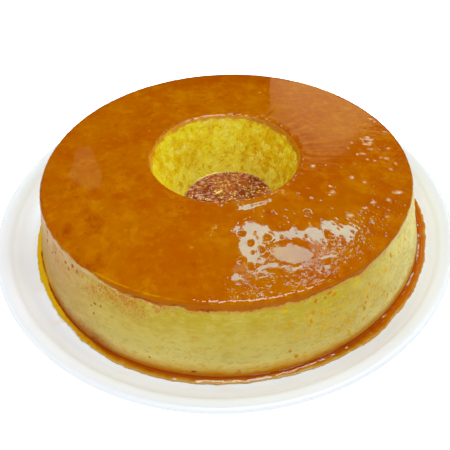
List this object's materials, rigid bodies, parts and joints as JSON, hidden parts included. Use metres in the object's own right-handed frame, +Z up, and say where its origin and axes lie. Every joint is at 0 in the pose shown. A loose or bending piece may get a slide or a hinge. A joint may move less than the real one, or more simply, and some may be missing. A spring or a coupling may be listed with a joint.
{
  "type": "leche flan",
  "caption": "Ring-shaped caramel custard turned out on a white coupe plate, with a glossy caramel top and thin syrup lying round its foot and in its well.",
  "frame": {"origin": "centre of the plate, on the surface that its foot ring stands on", "axes": "+Z up; the picture was taken from the -Y side, looking towards +Y and down"},
  "size_m": [0.27, 0.27, 0.0472],
  "materials": {
    "plate_glaze": "white glossy glaze",
    "custard": "moist baked egg custard, pale olive yellow, finely pored",
    "caramel": "wet glossy caramel-soaked custard, orange brown",
    "syrup": "wet glossy caramel syrup, amber where thin and dark brown where deep"
  },
  "bodies": {
    "root": {"plate": "plate_glaze", "custard": "custard", "caramel_layer": "caramel", "syrup_ring": "syrup", "syrup_well": "syrup"}
  },
  "joints": []
}
